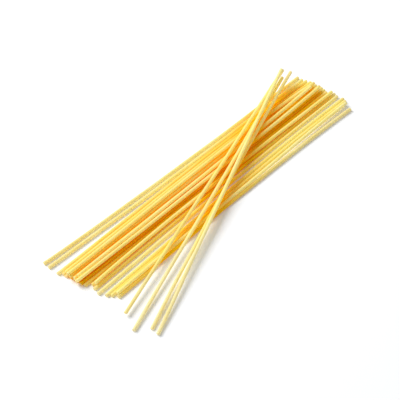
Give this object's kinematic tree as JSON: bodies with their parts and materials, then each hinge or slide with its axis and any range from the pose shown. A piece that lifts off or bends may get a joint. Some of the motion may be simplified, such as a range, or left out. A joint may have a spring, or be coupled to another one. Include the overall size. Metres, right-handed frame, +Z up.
{
  "type": "bundle of dry spaghetti",
  "caption": "Loose bundle of long thin dry pasta rods lying side by side on a surface, with a few rods slantwise across the top.",
  "frame": {"origin": "middle of the bottom of the whole, on the surface it lies on", "axes": "+X along the bundle to its far ends, +Y to its left, +Z up"},
  "size_m": [0.2602, 0.0997, 0.0174],
  "materials": {
    "bundle_pasta": "smooth, slightly translucent dried durum wheat dough, satin",
    "loose_pasta": "smooth, slightly translucent dried durum wheat dough, satin"
  },
  "bodies": {
    "root": {"across_strand_1": "loose_pasta", "across_strand_2": "loose_pasta", "across_strand_3": "loose_pasta", "across_strand_4": "loose_pasta", "bundle": "bundle_pasta", "left_strand_1": "loose_pasta", "left_strand_2": "loose_pasta", "left_strand_3": "loose_pasta", "right_strand_1": "loose_pasta", "right_strand_2": "loose_pasta", "right_strand_3": "loose_pasta", "right_strand_4": "loose_pasta", "right_strand_5": "loose_pasta"}
  },
  "joints": []
}
